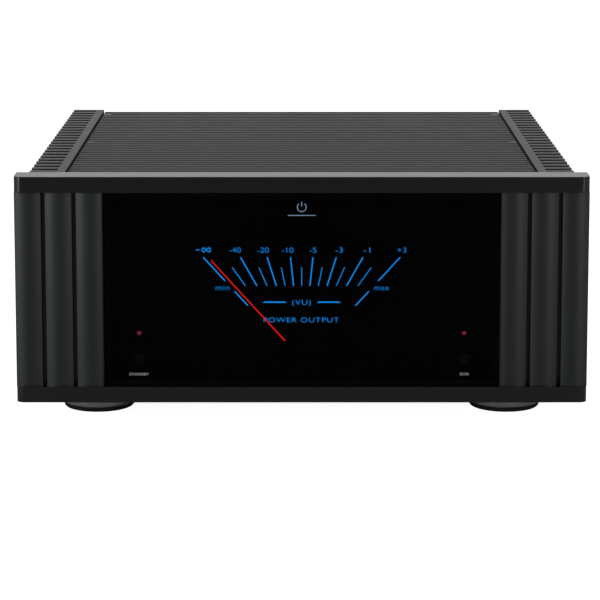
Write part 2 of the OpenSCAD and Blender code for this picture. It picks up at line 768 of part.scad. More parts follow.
xlr_cavity_r = 9.6;
xlr_insert_r = 7.6;
xlr_depth = 16;
xlr_contact_r = 1.3;
xlr_contacts = [[-3.8, 1.6], [3.8, 1.6], [0, -3.6]];
latch_half_w = 4.3;
latch_low = 10.4;
latch_high = 13.6;

// Shell with its flange and its ring-shaped gap for the plug, and the insert that holds the contacts
module xlr_socket(x) {
    face_y = rear_y + xlr_flange_t;
    difference() {
        union() {
            upright_plate(x, input_z, 13, 15.5, 2, rear_y, face_y);
            rod_y(x, input_z, face_y - xlr_depth - 2, rear_y, xlr_body_r);
        }
        rod_y(x, input_z, face_y - xlr_depth, face_y + cut, xlr_cavity_r);
        rod_y(x, input_z, face_y - xlr_depth - 2 - cut, face_y, xlr_insert_r + play);
        block([x - latch_half_w - clear, face_y - 2.4, input_z + latch_low - clear],
              [x + latch_half_w + clear, face_y + cut, input_z + latch_high + clear]);
        for (end = [-1, 1])
            rod_y(x + end * xlr_screw_x, input_z + end * xlr_screw_z, rear_y - cut, face_y + cut, m3_r);
    }
    difference() {
        rod_y(x, input_z, input_board_y + board_t, face_y - 1, xlr_insert_r);
        for (c = xlr_contacts) rod_y(x + c[0], input_z + c[1], face_y - 12, face_y, xlr_contact_r);
    }
}

module xlr_sockets() color("#8c8e90") for (side = [-1, 1]) xlr_socket(side * xlr_x);

module xlr_latch(x) block([x - latch_half_w, rear_y + xlr_flange_t - 0.9, input_z + latch_low],
                          [x + latch_half_w, rear_y + xlr_flange_t + 2, input_z + latch_high]);

module left_xlr_latch() color("#9a9c9e") xlr_latch(-xlr_x);

module right_xlr_latch() color("#9a9c9e") xlr_latch(xlr_x);

module phono_sockets() color("#c9a24a") for (side = [-1, 1]) difference() {
    union() {
        translate([side * phono_x, rear_y, input_z]) rotate([-90, 0, 0]) cylinder(r = 7, h = 3, $fn = 6);
        rod_y(side * phono_x, input_z, input_board_y + board_t, rear_y + 1, phono_neck_r);
        rod_y(side * phono_x, input_z, rear_y + 1, phono_end_y, phono_r);
    }
    rod_y(side * phono_x, input_z, rear_y + 2, phono_end_y + cut, 1.7);
}

module trigger_jacks() color("#7e8082") for (side = [-1, 1]) difference() {
    union() {
        translate([side * jack_x, rear_y, input_z]) rotate([-90, 0, 0]) cylinder(r = 5, h = 2, $fn = 6);
        rod_y(side * jack_x, input_z, rear_y - plate_t, rear_y + 3.5, barrel_r);
        block([side * jack_x - 5, input_board_y + board_t, input_z - 5],
              [side * jack_x + 5, rear_y - plate_t, input_z + 5]);
    }
    rod_y(side * jack_x, input_z, rear_y - 12, rear_y + 5, jack_r);
}

// ---- Toggle switch that picks the input ----

module input_toggle_base() color("#a4a6a8") difference() {
    union() {
        rod_y(0, input_z, rear_y - plate_t, toggle_barrel_y, barrel_r);
        translate([0, rear_y, input_z]) rotate([-90, 0, 0]) cylinder(r = 5, h = 2, $fn = 6);
        block([-4, input_board_y + board_t, input_z - 6.5], [4, rear_y - plate_t, input_z + 6.5]);
    }
    rod_y(0, input_z, toggle_pivot_y - toggle_ball_r - 0.5, toggle_barrel_y + cut, toggle_ball_r + play);
    rod_x(-toggle_pin_half_l - play, toggle_pin_half_l + play, toggle_pivot_y, input_z, toggle_pin_r + play);
}

// Bat lever on its ball and pin, drawn tilted down
module input_toggle_lever() color("#b4b6b8") translate([0, toggle_pivot_y, input_z]) {
    sphere(r = toggle_ball_r);
    rod_x(-toggle_pin_half_l, toggle_pin_half_l, 0, 0, toggle_pin_r);
    rotate([-toggle_tilt, 0, 0]) rotate([-90, 0, 0]) {
        cylinder(r = 0.9, h = 4);
        translate([0, 0, 3]) cylinder(r1 = 1.1, r2 = 1.9, h = 9);
        translate([0, 0, 12]) sphere(r = 1.9);
    }
}

// ---- Speaker terminals ----

// Fixed studs, each with its collar, its nut inside the panel and its 4 mm bore
module speaker_posts() color("#c9a24a") for (x = post_x) difference() {
    union() {
        rod_y(x, post_z, protection_board_y + board_t, stud_end_y, stud_r);
        rod_y(x, post_z, rear_y - plate_t, rear_y, post_neck_r);
        rod_y(x, post_z, rear_y, rear_y + post_flange_t, 9);
        translate([x, rear_y - plate_t - 5, post_z]) rotate([-90, 0, 0]) cylinder(r = 8, h = 5, $fn = 6);
    }
    rod_y(x, post_z, stud_end_y - 15, stud_end_y + cut, banana_r);
}

module post_washer(i) difference() {
    rod_y(post_x[i], post_z, washer_y, washer_y + washer_t, 7);
    rod_y(post_x[i], post_z, washer_y - cut, washer_y + washer_t + cut, stud_r + 2 * play);
}

// Cap with V-shaped flutes that screws along the stud, open at its end for a plug
module post_cap(i) difference() {
    cap_end_y = rear_y + terminal_reach;
    union() {
        rod_y(post_x[i], post_z, cap_y, cap_y + 3, cap_r - 1);
        rod_y(post_x[i], post_z, cap_y + 3, cap_end_y, cap_r);
    }
    for (k = [0:cap_flute_count - 1])
        translate([post_x[i], cap_y + 4, post_z]) rotate([-90, 0, 0])
            rotate([0, 0, k * 360 / cap_flute_count])
            translate([cap_r, 0, 0]) cylinder(r = cap_flute_depth, h = cap_end_y - cap_y, $fn = 4);
    rod_y(post_x[i], post_z, cap_y - cut, cap_end_y + cut, stud_r + 2 * play);
}

module post_washer_1() color("#d8b050") post_washer(0);
module post_washer_2() color("#d8b050") post_washer(1);
module post_washer_3() color("#d8b050") post_washer(2);
module post_washer_4() color("#d8b050") post_washer(3);
module post_cap_1() color("#151515") post_cap(0);
module post_cap_2() color("#a01818") post_cap(1);
module post_cap_3() color("#151515") post_cap(2);
module post_cap_4() color("#a01818") post_cap(3);

fascia_top_bar();
fascia_bottom_bar();
left_pillar();
right_pillar();
front_window();
window_gasket();
front_subpanel();
meter_dial();
meter_light_box();
meter_movement();
meter_needle();
pivot_cover();
standby_button();
dim_button();
status_lamps();
button_boards();
lid_front_panel();
lid_rear_panel();
lid_screws();
side_rails();
lid_cross_rail();
left_heatsink();
right_heatsink();
bottom_plate();
rear_panel();
chassis_screws();
foot_cups();
foot_pads();
foot_screws();
toroidal_transformer();
transformer_pad();
transformer_clamp();
transformer_bolt();
filter_capacitors();
power_supply_board();
bridge_rectifiers();
left_amplifier_board();
right_amplifier_board();
output_transistors();
input_board();
protection_board();
mains_inlet();
fuse_drawer();
power_rocker();
xlr_sockets();
left_xlr_latch();
right_xlr_latch();
phono_sockets();
input_toggle_base();
input_toggle_lever();
trigger_jacks();
speaker_posts();
post_washer_1();
post_washer_2();
post_washer_3();
post_washer_4();
post_cap_1();
post_cap_2();
post_cap_3();
post_cap_4();
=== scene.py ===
"""Looks for the amplifier: a finish for every CAD node and softened edges for most, then pieces for the
printed dial, the marks on the glass, the black print behind it and the rear panel's details, with a pale
floor, soft light and a camera in front of and slightly above the amplifier."""

import json
import math

import bmesh
import bpy
from mathutils import Matrix, Vector


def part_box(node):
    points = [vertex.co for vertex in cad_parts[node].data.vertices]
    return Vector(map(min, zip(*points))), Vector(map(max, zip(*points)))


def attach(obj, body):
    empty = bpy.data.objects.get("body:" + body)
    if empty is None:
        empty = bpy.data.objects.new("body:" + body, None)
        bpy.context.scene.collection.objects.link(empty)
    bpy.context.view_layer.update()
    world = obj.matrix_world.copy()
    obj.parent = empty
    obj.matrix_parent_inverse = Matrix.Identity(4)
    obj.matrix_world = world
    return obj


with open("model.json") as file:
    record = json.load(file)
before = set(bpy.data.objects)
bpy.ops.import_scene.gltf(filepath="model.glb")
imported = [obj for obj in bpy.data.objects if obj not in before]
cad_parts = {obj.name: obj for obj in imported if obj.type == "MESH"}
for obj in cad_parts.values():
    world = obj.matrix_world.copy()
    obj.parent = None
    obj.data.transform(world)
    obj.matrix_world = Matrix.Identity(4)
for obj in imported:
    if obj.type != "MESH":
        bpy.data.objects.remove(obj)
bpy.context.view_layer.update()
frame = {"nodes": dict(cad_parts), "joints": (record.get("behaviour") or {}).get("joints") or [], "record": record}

NODES = frame["nodes"]
MM = 0.001  # lengths are in metres
SEGMENTS = 48  # sides of a round piece

# Places that the CAD settles
front_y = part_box("fascia_top_bar")[0].y
top_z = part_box("fascia_top_bar")[1].z
base_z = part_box("fascia_bottom_bar")[0].z
glass_front_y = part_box("front_window")[0].y
dial_front_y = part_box("meter_dial")[0].y
rear_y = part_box("rear_panel")[1].y
pivot = next(Vector(joint["pos_m"]) for joint in frame["joints"] if joint["name"] == "needle_swing")
mounts = {mount["name"]: Vector(mount["pos_m"]) for mount in frame["record"]["mounts"]}


def middle(node):
    """Centre of a node's box."""
    low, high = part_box(node)
    return (low + high) / 2


# ---- Materials ----

COAT_ROUGHNESS = 0.15
NOISE_LOW, NOISE_HIGH = 0.3, 0.7  # nearly all values of a noise texture lie between these
MIX_FACTOR, MIX_A, MIX_B, MIX_RESULT = 0, 6, 7, 2  # a Mix node's sockets for colours
GLASS_TINT = 0.4  # share of the light that the glass stops
GLASS_GLOSS = 0.02
BEHIND_GLASS = 1 / (1 - GLASS_TINT)  # makes up for the light that the glass stops
TAPE_TURNS = 64


def srgb(red, green, blue):
    """Linear colour of a display colour given in 0..255."""
    def linear(value):
        value /= 255
        return value / 12.92 if value <= 0.04045 else ((value + 0.055) / 1.055) ** 2.4
    return (linear(red), linear(green), linear(blue), 1.0)


class Finish:
    """A Principled material that is given changes of tone, a grain in its roughness and a bump."""

    def __init__(self, name, colour, roughness, metallic=0.0, specular=0.5, coat=0.0):
        self.material = bpy.data.materials.new(name)
        self.material.use_nodes = True
        self.tree = self.material.node_tree
        self.shader = self.tree.nodes["Principled BSDF"]
        self.colour = colour
        self.roughness = roughness
        self.shader.inputs["Base Color"].default_value = colour
        self.shader.inputs["Roughness"].default_value = roughness
        self.shader.inputs["Metallic"].default_value = metallic
        self.shader.inputs["Specular IOR Level"].default_value = specular
        self.shader.inputs["Coat Weight"].default_value = coat
        self.shader.inputs["Coat Roughness"].default_value = COAT_ROUGHNESS
        self.place = self.node("ShaderNodeTexCoord").outputs["Object"]

    def node(self, kind, **settings):
        """A new node of the material, with its settings."""
        made = self.tree.nodes.new(kind)
        for key, value in settings.items():
            setattr(made, key, value)
        return made

    def link(self, source, target):
        """Joins an output to an input."""
        self.tree.links.new(source, target)

    def noise(self, scale, stretch=(1, 1, 1), detail=3.0):
        """Noise in object space; stretch multiplies the frequency along each axis."""
        mapping = self.node("ShaderNodeMapping")
        mapping.inputs["Scale"].default_value = stretch
        self.link(self.place, mapping.inputs["Vector"])
        texture = self.node("ShaderNodeTexNoise")
        texture.inputs["Scale"].default_value = scale
        texture.inputs["Detail"].default_value = detail
        self.link(mapping.outputs["Vector"], texture.inputs["Vector"])
        return texture.outputs["Fac"]

    def spread(self, source, low, high):
        """Maps a texture's value onto low..high."""
        span = self.node("ShaderNodeMapRange")
        span.inputs["From Min"].default_value = NOISE_LOW
        span.inputs["From Max"].default_value = NOISE_HIGH
        span.inputs["To Min"].default_value = low
        span.inputs["To Max"].default_value = high
        self.link(source, span.inputs["Value"])
        return span.outputs["Result"]

    def tone(self, source, amount, tint=(1, 1, 1)):
        """Varies the base colour by +-amount along the texture, and tints its dark end."""
        mix = self.node("ShaderNodeMix", data_type="RGBA")
        dark = [c * (1 - amount) * t for c, t in zip(self.colour[:3], tint)] + [1.0]
        light = [min(1.0, c * (1 + amount)) for c in self.colour[:3]] + [1.0]
        mix.inputs[MIX_A].default_value = dark
        mix.inputs[MIX_B].default_value = light
        self.link(self.spread(source, 0.0, 1.0), mix.inputs[MIX_FACTOR])
        self.link(mix.outputs[MIX_RESULT], self.shader.inputs["Base Color"])
        return self

    def grain(self, source, amount):
        """Varies the roughness by +-amount along the texture."""
        self.link(self.spread(source, self.roughness - amount, self.roughness + amount),
                  self.shader.inputs["Roughness"])
        return self

    def bump(self, source, strength, distance):
        """Tilts the surface's normals by the texture."""
        bump = self.node("ShaderNodeBump")
        bump.inputs["Strength"].default_value = strength
        bump.inputs["Distance"].default_value = distance
        self.link(source, bump.inputs["Height"])
        self.link(bump.outputs["Normal"], self.shader.inputs["Normal"])
        return self

    def glow(self, colour, strength):
        """Makes the surface give off light."""
        self.shader.inputs["Emission Color"].default_value = colour
        self.shader.inputs["Emission Strength"].default_value = strength
        return self


def blasted(name, colour, roughness, specular, fineness=1400):
    """Bead-blasted and anodised metal: a fine even grain and faint broad shifts of tone."""
    finish = Finish(name, colour, roughness, specular=specular)
    fine = finish.noise(scale=fineness, detail=2)
    finish.tone(finish.noise(scale=9, detail=4), amount=0.12)
    finish.grain(fine, amount=0.06)
    finish.bump(fine, strength=0.12, distance=0.08 * MM)
    return finish.material


def brushed(name, colour, roughness, specular=0.5, along=(1, 60, 60), strength=0.08, metallic=0.0):
    """Brushed metal: long hairlines along the axis that is stretched least."""
    finish = Finish(name, colour, roughness, metallic=metallic, specular=specular)
    lines = finish.noise(scale=45, stretch=along, detail=5)
    finish.tone(lines, amount=0.15)
    finish.grain(lines, amount=0.05)
    finish.bump(lines, strength=strength, distance=0.05 * MM)
    return finish.material


def bare_metal(name, colour, roughness, along=(1, 60, 60)):
    """Brushed metal without a coating over it."""
    return brushed(name, colour, roughness, along=along, metallic=1.0)


def moulded(name, colour, roughness, specular=0.5, coat=0.0):
    """Moulded plastic or rubber: a slight orange-peel and small shifts of gloss."""
    finish = Finish(name, colour, roughness, specular=specular, coat=coat)
    fine = finish.noise(scale=900, detail=3)
    finish.tone(finish.noise(scale=40, detail=4), amount=0.1)
    finish.grain(fine, amount=0.05)
    finish.bump(fine, strength=0.1, distance=0.1 * MM)
    return finish.material


def lit(name, colour, strength, base=(0.01, 0.01, 0.01, 1)):
    """Print or plastic that gives off light, slightly uneven."""
    finish = Finish(name, base, 0.6, specular=0.1)
    finish.glow(colour, strength)
    finish.grain(finish.noise(scale=600), amount=0.08)
    return finish.material


def dark_glass():
    """Black-tinted window glass: it darkens what is behind it and keeps a faint gloss."""
    finish = Finish("dark_glass", (0.0008, 0.0008, 0.001, 1), 0.03, specular=GLASS_GLOSS)
    finish.shader.inputs["Alpha"].default_value = GLASS_TINT
    finish.grain(finish.noise(scale=14, detail=5), amount=0.015)
    finish.bump(finish.noise(scale=3, detail=1), strength=0.02, distance=0.5 * MM)
    return finish.material


def circuit_board():
    """Green solder mask with copper tracks and pads showing through."""
    finish = Finish("circuit_board", (0.012, 0.075, 0.03, 1), 0.3, specular=0.5, coat=0.3)
    density = 160
    mapping = finish.node("ShaderNodeMapping")
    mapping.inputs["Scale"].default_value = (density, density, density)
    finish.link(finish.place, mapping.inputs["Vector"])
    cells = finish.node("ShaderNodeTexVoronoi", feature="F1", distance="MANHATTAN")
    finish.link(mapping.outputs["Vector"], cells.inputs["Vector"])
    finish.tone(cells.outputs["Distance"], amount=0.45, tint=(1, 0.8, 0.7))
    finish.grain(cells.outputs["Distance"], amount=0.06)
    finish.bump(cells.outputs["Distance"], strength=0.15, distance=0.1 * MM)
    return finish.material


def wound_tape():
    """Varnished yellow tape wound round the transformer's core in overlapping turns."""
    finish = Finish("wound_tape", (0.52, 0.33, 0.07, 1), 0.32, specular=0.5, coat=0.4)
    centre = middle("toroidal_transformer")
    offset = finish.node("ShaderNodeMapping")
    offset.inputs["Location"].default_value = (-centre.x, -centre.y, 0)
    finish.link(finish.place, offset.inputs["Vector"])
    sweep = finish.node("ShaderNodeTexGradient", gradient_type="RADIAL")
    finish.link(offset.outputs["Vector"], sweep.inputs["Vector"])
    turns = finish.node("ShaderNodeMath", operation="MULTIPLY")
    turns.inputs[1].default_value = TAPE_TURNS
    finish.link(sweep.outputs["Fac"], turns.inputs[0])
    overlap = finish.node("ShaderNodeMath", operation="FRACT")
    finish.link(turns.outputs["Value"], overlap.inputs[0])
    finish.tone(overlap.outputs["Value"], amount=0.25)
    finish.grain(finish.noise(scale=90), amount=0.1)
    finish.bump(overlap.outputs["Value"], strength=0.5, distance=0.5 * MM)
    return finish.material


DIAL_BLUE = srgb(10, 146, 240)
# The needle's red, which is also the colour of its painted glow
NEEDLE_PAINTED_GLOW = srgb(245, 25, 24)
LAMP_PINK = srgb(190, 50, 120)
DIAL_BRIGHTNESS = 1.35 * BEHIND_GLASS
LAMP_BRIGHTNESS = 0.5 * BEHIND_GLASS

# Most list a colour, then a roughness and sometimes a specular level
FINISHES = {
    # Front panel
    "bar_anodised": brushed("bar_anodised", (0.0003, 0.0008, 0.0008, 1), 0.24, 0.32, along=(1, 55, 55)),
    "pillar_anodised": blasted("pillar_anodised", (0.0055, 0.0065, 0.0067, 1), 0.42, 0.25),
    "window_glass": dark_glass(),
    "gasket_foam": moulded("gasket_foam", (0.004, 0.004, 0.004, 1), 0.9, specular=0.1),
    "plate_steel": blasted("plate_steel", (0.006, 0.006, 0.006, 1), 0.6, 0.3, fineness=700),
    "button_black": moulded("button_black", (0.0002, 0.0002, 0.0002, 1), 0.12, specular=0.06),
    "lamp_red": lit("lamp_red", LAMP_PINK, LAMP_BRIGHTNESS, base=(0.1, 0.005, 0.03, 1)),

    # Meter
    "dial_black": moulded("dial_black", (0.0003, 0.0003, 0.0004, 1), 0.8, specular=0.01),
    "light_box_white": moulded("light_box_white", (0.6, 0.62, 0.64, 1), 0.55),
    "movement_steel": bare_metal("movement_steel", (0.35, 0.36, 0.38, 1), 0.35),
    # The needle gives off light. This is painted light: it stands in for the meter's lamp lighting the needle,
    # made brighter to make up for the glass tint
    "needle_red": lit("needle_red", NEEDLE_PAINTED_GLOW, BEHIND_GLASS, base=(0.3, 0.01, 0.01, 1)),

    # Case and feet
    "lid_anodised": blasted("lid_anodised", (0.028, 0.028, 0.028, 1), 0.5, 0.5, fineness=1200),
    "sink_anodised": brushed("sink_anodised", (0.006, 0.0063, 0.0063, 1), 0.44, along=(40, 40, 1),
                             strength=0.12),
    "rear_anodised": blasted("rear_anodised", (0.009, 0.009, 0.0095, 1), 0.45, 0.35),
    "rail_aluminium": bare_metal("rail_aluminium", (0.45, 0.45, 0.46, 1), 0.4, along=(40, 1, 40)),
    "screw_black": brushed("screw_black", (0.03, 0.03, 0.03, 1), 0.3, along=(20, 20, 20)),
    "foot_metal": brushed("foot_metal", (0.12, 0.122, 0.125, 1), 0.36, 0.7, along=(1, 1, 50)),
    "foot_rubber": moulded("foot_rubber", (0.004, 0.004, 0.004, 1), 0.8, specular=0.2),

    # Inside
    "board_green": circuit_board(),
    "winding": wound_tape(),
    "bright_steel": bare_metal("bright_steel", (0.5, 0.51, 0.53, 1), 0.3, along=(30, 30, 30)),
    "capacitor_sleeve": moulded("capacitor_sleeve", (0.012, 0.02, 0.05, 1), 0.22, coat=0.5),
    "component_black": moulded("component_black", (0.01, 0.01, 0.01, 1), 0.5),

    # Rear
    "inlet_black": moulded("inlet_black", (0.008, 0.008, 0.008, 1), 0.35),
    "socket_nickel": bare_metal("socket_nickel", (0.55, 0.54, 0.52, 1), 0.3, along=(25, 25, 25)),
    "gold_plate": bare_metal("gold_plate", (0.85, 0.55, 0.18, 1), 0.22, along=(20, 20, 20)),
    "lever_chrome": bare_metal("lever_chrome", (0.75, 0.75, 0.76, 1), 0.12, along=(9, 9, 9)),
    "cap_black": moulded("cap_black", (0.008, 0.008, 0.008, 1), 0.3, coat=0.2),
    "cap_red": moulded("cap_red", (0.32, 0.008, 0.008, 1), 0.3, coat=0.2),
}
INK_BLUE = lit("ink_blue", DIAL_BLUE, DIAL_BRIGHTNESS)
INK_WHITE = moulded("ink_white", (0.55, 0.58, 0.6, 1), 0.6, specular=0.2)
INK_PALE = moulded("ink_pale", (0.17, 0.26, 0.38, 1), 0.5, specular=0.2)
INSULATOR_WHITE = moulded("insulator_white", (0.6, 0.6, 0.58, 1), 0.4)
INSULATOR_RED = moulded("insulator_red", (0.4, 0.01, 0.01, 1), 0.4)
INSULATOR_BLACK = moulded("insulator_black", (0.006, 0.006, 0.006, 1), 0.45)
FUSE_GLASS = moulded("fuse_glass", (0.35, 0.38, 0.38, 1), 0.08, coat=0.8)

for part in frame["record"]["subparts"]:
    slots = NODES[part["node"]].data.materials
    slots.clear()
    slots.append(FINISHES[part["material_slot"]])


# ---- Softened edges of the CAD nodes ----

WELD_DISTANCE = 0.01 * MM
EDGE_ANGLE = math.radians(35)  # an edge that bends more than this is rounded
EDGE_WIDTHS_MM = {
    "fascia_top_bar": 0.45, "fascia_bottom_bar": 0.45, "left_pillar": 0.25, "right_pillar": 0.25,
    "lid_front_panel": 0.3, "lid_rear_panel": 0.3, "left_heatsink": 0.35, "right_heatsink": 0.35,
    "rear_panel": 0.2, "bottom_plate": 0.2, "foot_cups": 0.3, "foot_pads": 0.3, "front_window": 0.2,
    "standby_button": 0.5, "dim_button": 0.5, "mains_inlet": 0.3, "power_rocker": 0.4, "fuse_drawer": 0.25,
    "xlr_sockets": 0.25, "left_xlr_latch": 0.3, "right_xlr_latch": 0.3, "phono_sockets": 0.2,
    "trigger_jacks": 0.2, "input_toggle_base": 0.2, "speaker_posts": 0.2, "chassis_screws": 0.25,
    "foot_screws": 0.2, "transformer_clamp": 0.4, "transformer_bolt": 0.4, "filter_capacitors": 0.5,
    "bridge_rectifiers": 0.3, "output_transistors": 0.3, "side_rails": 0.3, "lid_cross_rail": 0.3,
    "lid_screws": 0.12,
}
POSTS = range(1, 5)  # numbers of the speaker terminals
for post in POSTS:
    EDGE_WIDTHS_MM[f"post_cap_{post}"] = 0.2
    EDGE_WIDTHS_MM[f"post_washer_{post}"] = 0.2


def soften(node, width):
    """Joins the mesh's split corners, then rounds its sharp edges by a small width."""
    obj = NODES[node]
    for polygon in obj.data.polygons:
        polygon.use_smooth = True
    weld = obj.modifiers.new("weld", "WELD")
    weld.merge_threshold = WELD_DISTANCE
    bevel = obj.modifiers.new("bevel", "BEVEL")
    bevel.width = width
    bevel.segments = 2
    bevel.limit_method = "ANGLE"
    bevel.angle_limit = EDGE_ANGLE
    bevel.harden_normals = False
    normals = obj.modifiers.new("normals", "WEIGHTED_NORMAL")
    normals.keep_sharp = False
    normals.weight = 100


for node, width in EDGE_WIDTHS_MM.items():
    soften(node, width * MM)


# ---- Making pieces ----

CAPITAL_HEIGHT = 0.729  # of the built-in typeface at size 1
TEXT_THICKNESS = 0.06 * MM
SAME_PLACE = 1e-7  # corners nearer than this are one


def piece(name, mesh, material, body="root"):
    """Links a mesh as a named piece that rides on a body."""
    mesh.materials.clear()
    mesh.materials.append(material)
    obj = bpy.data.objects.new(name, mesh)
    bpy.context.scene.collection.objects.link(obj)
    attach(obj, body)


def solid_piece(name, bm, material, body="root"):
    """Makes a piece from a bmesh of closed solids, and frees the bmesh."""
    mesh = bpy.data.meshes.new(name)
    bmesh.ops.recalc_face_normals(bm, faces=bm.faces)
    bm.to_mesh(mesh)
    bm.free()
    piece(name, mesh, material, body)


def add_prism(bm, outline, y_near, y_far):
    """Adds a solid whose outline, in X and Z, is drawn out from y_near to y_far."""
    near = [bm.verts.new((x, y_near, z)) for x, z in outline]
    far = [bm.verts.new((x, y_far, z)) for x, z in outline]
    bm.faces.new(near)
    bm.faces.new(far[::-1])
    for i in range(len(near)):
        j = (i + 1) % len(near)
        bm.faces.new((near[j], near[i], far[i], far[j]))


def rectangle(x0, z0, x1, z1):
    """Outline of a rectangle in X and Z."""
    return [(x0, z0), (x1, z0), (x1, z1), (x0, z1)]


def add_ring(bm, centre, outer_r, inner_r, y_near, y_far, start=0.0, sweep=2 * math.pi, steps=SEGMENTS):
    """Adds a flat ring, or part of one, round an axis along Y. Angle 0 points up."""
    closed = sweep == 2 * math.pi
    section = ((outer_r, y_near), (inner_r, y_near), (inner_r, y_far), (outer_r, y_far))
    sections = []
    for i in range(steps if closed else steps + 1):
        angle = start + sweep * i / steps
        side, up = math.sin(angle), math.cos(angle)
        sections.append([bm.verts.new((centre.x + r * side, y, centre.z + r * up)) for r, y in section])
    for i in range(steps):
        here, there = sections[i], sections[(i + 1) % len(sections)]
        for k in range(4):
            bm.faces.new((here[k], here[(k + 1) % 4], there[(k + 1) % 4], there[k]))
    if not closed:
        bm.faces.new(sections[0])
        bm.faces.new(sections[-1][::-1])


def add_turned(bm, centre, profile, steps):
    """Adds a turned solid round an axis along Y. The profile lists (radius, y), its ends on the axis."""
    rings = []
    for r, y in profile:
        if r == 0:
            rings.append([bm.verts.new((centre.x, y, centre.z))])
            continue
        angles = [2 * math.pi * i / steps for i in range(steps)]
        rings.append([bm.verts.new((centre.x + r * math.sin(a), y, centre.z + r * math.cos(a)))
                      for a in angles])
    for a, b in zip(rings, rings[1:]):
        for i in range(steps):
            j = (i + 1) % steps
            corners = [a[i % len(a)], a[j % len(a)], b[j % len(b)], b[i % len(b)]]
            corners = list(dict.fromkeys(corners))  # at an end the two corners on the axis are one
            if len(corners) > 2:
                bm.faces.new(corners)


def curve_mesh(curve):
    """Mesh of a curve or text, made through an object that is removed again."""
    holder = bpy.data.objects.new(curve.name, curve)
    bpy.context.scene.collection.objects.link(holder)
    bpy.context.view_layer.update()
    evaluated = holder.evaluated_get(bpy.context.evaluated_depsgraph_get())
    mesh = bpy.data.meshes.new_from_object(evaluated)
    bpy.data.objects.remove(holder)
    return mesh


def text_mesh(text, height, width=None, bold=0.0, spacing=1.0):
    """Mesh of a text with the given capital height, its middle at the origin, facing -Y."""
    curve = bpy.data.curves.new("text", "FONT")
    curve.body = text
    curve.align_x = "CENTER"
    curve.size = 1.0
    curve.space_character = spacing
    curve.offset = bold
    curve.extrude = 0.5
    mesh = curve_mesh(curve)
    xs = [v.co.x for v in mesh.vertices]
    tall = height / (CAPITAL_HEIGHT + 2 * bold)
    wide = width / (max(xs) - min(xs)) if width else tall
    middle_x = (max(xs) + min(xs)) / 2
    for v in mesh.vertices:
        x, y, z = v.co
        v.co = ((x - middle_x) * wide, -z * TEXT_THICKNESS, (y - CAPITAL_HEIGHT / 2) * tall)
    return mesh


def add_text(bm, entry, y, turn=0.0):
    """Adds a text at y. The entry has text, x, z and height, and maybe width, bold and spacing."""
    options = {key: entry[key] for key in ("width", "bold", "spacing") if key in entry}
    mesh = text_mesh(entry["text"], entry["height"], **options)
    mesh.transform(Matrix.Rotation(turn, 4, "Z"))
    mesh.transform(Matrix.Translation((entry["x"], y, entry["z"])))
    bm.from_mesh(mesh)
    bpy.data.meshes.remove(mesh)


def front_texts(name, entries, y, material):
    """One piece of several texts that face the front."""
    bm = bmesh.new()
    for entry in entries:
        add_text(bm, entry, y)
    bmesh.ops.remove_doubles(bm, verts=bm.verts, dist=SAME_PLACE)
    solid_piece(name, bm, material)


# ---- Printed dial ----

# The scale's rays meet at an apex below the needle's pivot. Rises are heights above the apex.
APEX_RISE = 26.3 * MM  # above the bottom bar's lower edge
TICK_STEP = math.radians(5.85)
LAST_ANGLE = math.radians(42)
TICK_COUNT = 7  # on each side of the middle tick
LONG_TOP = 82.3 * MM
SHORT_TOP = 74.6 * MM
TICK_FOOT = 60.4 * MM
LAST_FOOT = 64.2 * MM
SECOND_TOP = 56.2 * MM
SECOND_FOOT = 45.2 * MM
LONG_WIDTH = 0.85 * MM
SHORT_WIDTH = 0.55 * MM
NUMBER_RISE = 88.0 * MM
LIMIT_RISE = 59.3 * MM
UNIT_RISE = 47.9 * MM
TITLE_RISE = 34.3 * MM
NUMBER_HEIGHT = 4.1 * MM
INFINITY_X = -71.8 * MM
PRINT_DEPTH = 0.12 * MM
DIAL_THINNING = -0.014  # takes the built-in typeface's strokes in
DIAL_SPACING = 1.12
dial_print_y = dial_front_y - PRINT_DEPTH
apex = Vector((pivot.x, 0, base_z + APEX_RISE))


def add_ray(bm, angle, top, foot, width):
    """A tick along a ray, its ends level, as wide across the ray as stated."""
    half = width / 2 / math.cos(angle)
    low_x, high_x = (apex.x + math.tan(angle) * rise for rise in (foot, top))
    low_z, high_z = apex.z + foot, apex.z + top
    add_prism(bm, [(low_x - half, low_z), (low_x + half, low_z), (high_x + half, high_z),
                   (high_x - half, high_z)], dial_print_y, dial_front_y)


def dial_ticks():
    """Long and short ticks in turn. The outermost are set apart, each with a second stroke below."""
    bm = bmesh.new()
    for i in range(-TICK_COUNT, TICK_COUNT + 1):
        if abs(i) == TICK_COUNT:
            angle = math.copysign(LAST_ANGLE, i)
            add_ray(bm, angle, LONG_TOP, LAST_FOOT, LONG_WIDTH)
            add_ray(bm, angle, SECOND_TOP, SECOND_FOOT, LONG_WIDTH)
        elif i % 2:
            add_ray(bm, i * TICK_STEP, LONG_TOP, TICK_FOOT, LONG_WIDTH)
        else:
            add_ray(bm, i * TICK_STEP, SHORT_TOP, TICK_FOOT, SHORT_WIDTH)
    solid_piece("dial_ticks", bm, INK_BLUE)


def dial_dashes():
    """Two bars beside the unit, flat below and sloping in at their upper corners."""
    bm = bmesh.new()
    near_x, far_x = 11.4 * MM, 29.6 * MM
    half_h, slope = 0.5 * MM, 1.6 * MM
    low_z, high_z = apex.z + UNIT_RISE - half_h, apex.z + UNIT_RISE + half_h
    for x0, x1 in ((-far_x, -near_x), (near_x, far_x)):
        add_prism(bm, [(x0, low_z), (x1, low_z), (x1 - slope, high_z), (x0 + slope, high_z)],
                  dial_print_y, dial_front_y)
    solid_piece("dial_dashes", bm, INK_BLUE)


